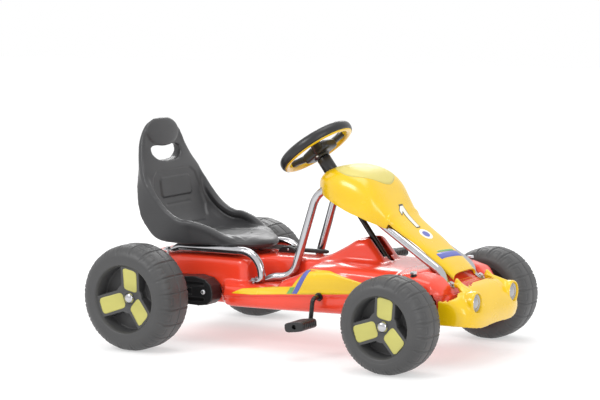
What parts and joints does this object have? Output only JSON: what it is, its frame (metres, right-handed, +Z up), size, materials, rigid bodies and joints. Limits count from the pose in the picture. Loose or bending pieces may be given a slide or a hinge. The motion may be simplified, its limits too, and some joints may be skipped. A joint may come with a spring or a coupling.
{
  "type": "pedal go kart",
  "caption": "Child's pedal go kart: moulded red body, yellow hood and nose, bucket seat on chromed rails, steering wheel, and pedals that drive the rear axle by an enclosed chain.",
  "frame": {"origin": "centre of the bounding box on the floor", "axes": "+X towards the front, +Y towards the rider's left, +Z up"},
  "size_m": [1.072, 0.746, 0.6087],
  "materials": {
    "red_plastic": "moulded, glossy",
    "yellow_plastic": "moulded, glossy",
    "grey_plastic": "blow moulded, satin",
    "black_plastic": "moulded, satin",
    "tyre_grey": "blow-moulded hard plastic wheel with a tread",
    "chrome": "bright plated tube",
    "zinc_steel": "zinc-plated fasteners and rods",
    "black_steel": "black powder coat",
    "lamp_lens": "silvered toy lamp"
  },
  "bodies": {
    "chassis": {"body_upper_shell": "red_plastic", "body_lower_shell": "red_plastic", "front_bumper": "yellow_plastic", "headlight_right": "lamp_lens", "headlight_left": "lamp_lens", "hood": "yellow_plastic", "frame_tube_right": "chrome", "seat_rail_right": "chrome", "frame_foot_bolt_right": "zinc_steel", "frame_front_bolt_right": "zinc_steel", "rail_foot_bolt_right": "zinc_steel", "rail_rear_bolt_right": "zinc_steel", "frame_tube_left": "chrome", "seat_rail_left": "chrome", "frame_foot_bolt_left": "zinc_steel", "frame_front_bolt_left": "zinc_steel", "rail_foot_bolt_left": "zinc_steel", "rail_rear_bolt_left": "zinc_steel", "seat": "grey_plastic", "axle_bracket_right": "black_plastic", "bracket_bolt_right": "zinc_steel", "axle_bush_right": "grey_plastic", "axle_bracket_left": "black_plastic", "bracket_bolt_left": "zinc_steel", "axle_bush_left": "grey_plastic", "chain": "black_steel", "crank_bush_right": "black_plastic", "crank_bush_left": "black_plastic", "column_sleeve": "black_plastic", "brake_lever_base": "black_plastic", "brake_lever_pin": "zinc_steel"},
    "steering": {"steering_rim": "black_plastic", "steering_grip_ring": "yellow_plastic", "steering_hub": "black_plastic", "steering_shaft": "black_steel", "steering_bolt": "zinc_steel"},
    "rear_axle_unit": {"rear_axle": "zinc_steel", "axle_sprocket": "zinc_steel", "rear_wheel_left": "tyre_grey", "rear_hub_cap_left": "chrome"},
    "rear_wheel_free": {"rear_wheel_right": "tyre_grey", "rear_hub_cap_right": "chrome"},
    "crank": {"crankshaft": "black_steel", "crank_sprocket": "zinc_steel"},
    "pedal_right_unit": {"pedal_right": "black_plastic"},
    "pedal_left_unit": {"pedal_left": "black_plastic"},
    "knuckle_right_unit": {"knuckle_right": "black_steel", "kingpin_nut_right": "zinc_steel"},
    "knuckle_left_unit": {"knuckle_left": "black_steel", "kingpin_nut_left": "zinc_steel"},
    "tie_rod_right_unit": {"tie_rod_right": "zinc_steel"},
    "tie_rod_left_unit": {"tie_rod_left": "zinc_steel"},
    "front_wheel_right_unit": {"front_wheel_right": "tyre_grey", "front_hub_cap_right": "chrome"},
    "front_wheel_left_unit": {"front_wheel_left": "tyre_grey", "front_hub_cap_left": "chrome"},
    "hand_brake": {"brake_lever": "black_plastic"}
  },
  "joints": [
    {"name": "steering_turn", "type": "hinge", "parent": "chassis", "child": "steering", "pos_m": [-0.009, 0, 0.536], "axis": [-0.5948, 0, 0.8039], "range_deg": [-30, 30]},
    {"name": "rear_axle_spin", "type": "hinge", "parent": "chassis", "child": "rear_axle_unit", "pos_m": [-0.393, 0, 0.143], "axis": [0, 1, 0], "continuous": true},
    {"name": "rear_wheel_free_spin", "type": "hinge", "parent": "rear_axle_unit", "child": "rear_wheel_free", "pos_m": [-0.393, -0.31, 0.143], "axis": [0, 1, 0], "continuous": true},
    {"name": "crank_turn", "type": "hinge", "parent": "chassis", "child": "crank", "pos_m": [0.088, 0, 0.156], "axis": [0, 1, 0], "continuous": true},
    {"name": "brake_lever_lift", "type": "hinge", "parent": "chassis", "child": "hand_brake", "pos_m": [-0.112, 0.03, 0.2465], "axis": [0, -1, 0], "range_deg": [0, 50]},
    {"name": "pedal_right_spin", "type": "hinge", "parent": "crank", "child": "pedal_right_unit", "pos_m": [0.08, -0.232, 0.0915], "axis": [0, 1, 0], "continuous": true},
    {"name": "knuckle_right_turn", "type": "hinge", "parent": "chassis", "child": "knuckle_right_unit", "pos_m": [0.373, -0.163, 0.125], "axis": [0, 0, 1], "range_deg": [-24, 24]},
    {"name": "tie_rod_right_swing", "type": "hinge", "parent": "knuckle_right_unit", "child": "tie_rod_right_unit", "pos_m": [0.328, -0.163, 0.153], "axis": [0, 0, 1], "range_deg": [-24, 24]},
    {"name": "front_wheel_right_spin", "type": "hinge", "parent": "knuckle_right_unit", "child": "front_wheel_right_unit", "pos_m": [0.373, -0.291, 0.125], "axis": [0, 1, 0], "continuous": true},
    {"name": "pedal_left_spin", "type": "hinge", "parent": "crank", "child": "pedal_left_unit", "pos_m": [0.096, 0.232, 0.2205], "axis": [0, 1, 0], "continuous": true},
    {"name": "knuckle_left_turn", "type": "hinge", "parent": "chassis", "child": "knuckle_left_unit", "pos_m": [0.373, 0.163, 0.125], "axis": [0, 0, 1], "range_deg": [-24, 24]},
    {"name": "tie_rod_left_swing", "type": "hinge", "parent": "knuckle_left_unit", "child": "tie_rod_left_unit", "pos_m": [0.328, 0.163, 0.153], "axis": [0, 0, 1], "range_deg": [-24, 24]},
    {"name": "front_wheel_left_spin", "type": "hinge", "parent": "knuckle_left_unit", "child": "front_wheel_left_unit", "pos_m": [0.373, 0.291, 0.125], "axis": [0, 1, 0], "continuous": true}
  ],
  "couplings": [
    {"joint": "crank_turn", "follows": "rear_axle_spin", "ratio": 0.6},
    {"joint": "knuckle_right_turn", "follows": "steering_turn", "ratio": 0.8},
    {"joint": "tie_rod_right_swing", "follows": "steering_turn", "ratio": -0.8},
    {"joint": "knuckle_left_turn", "follows": "steering_turn", "ratio": 0.8},
    {"joint": "tie_rod_left_swing", "follows": "steering_turn", "ratio": -0.8}
  ]
}
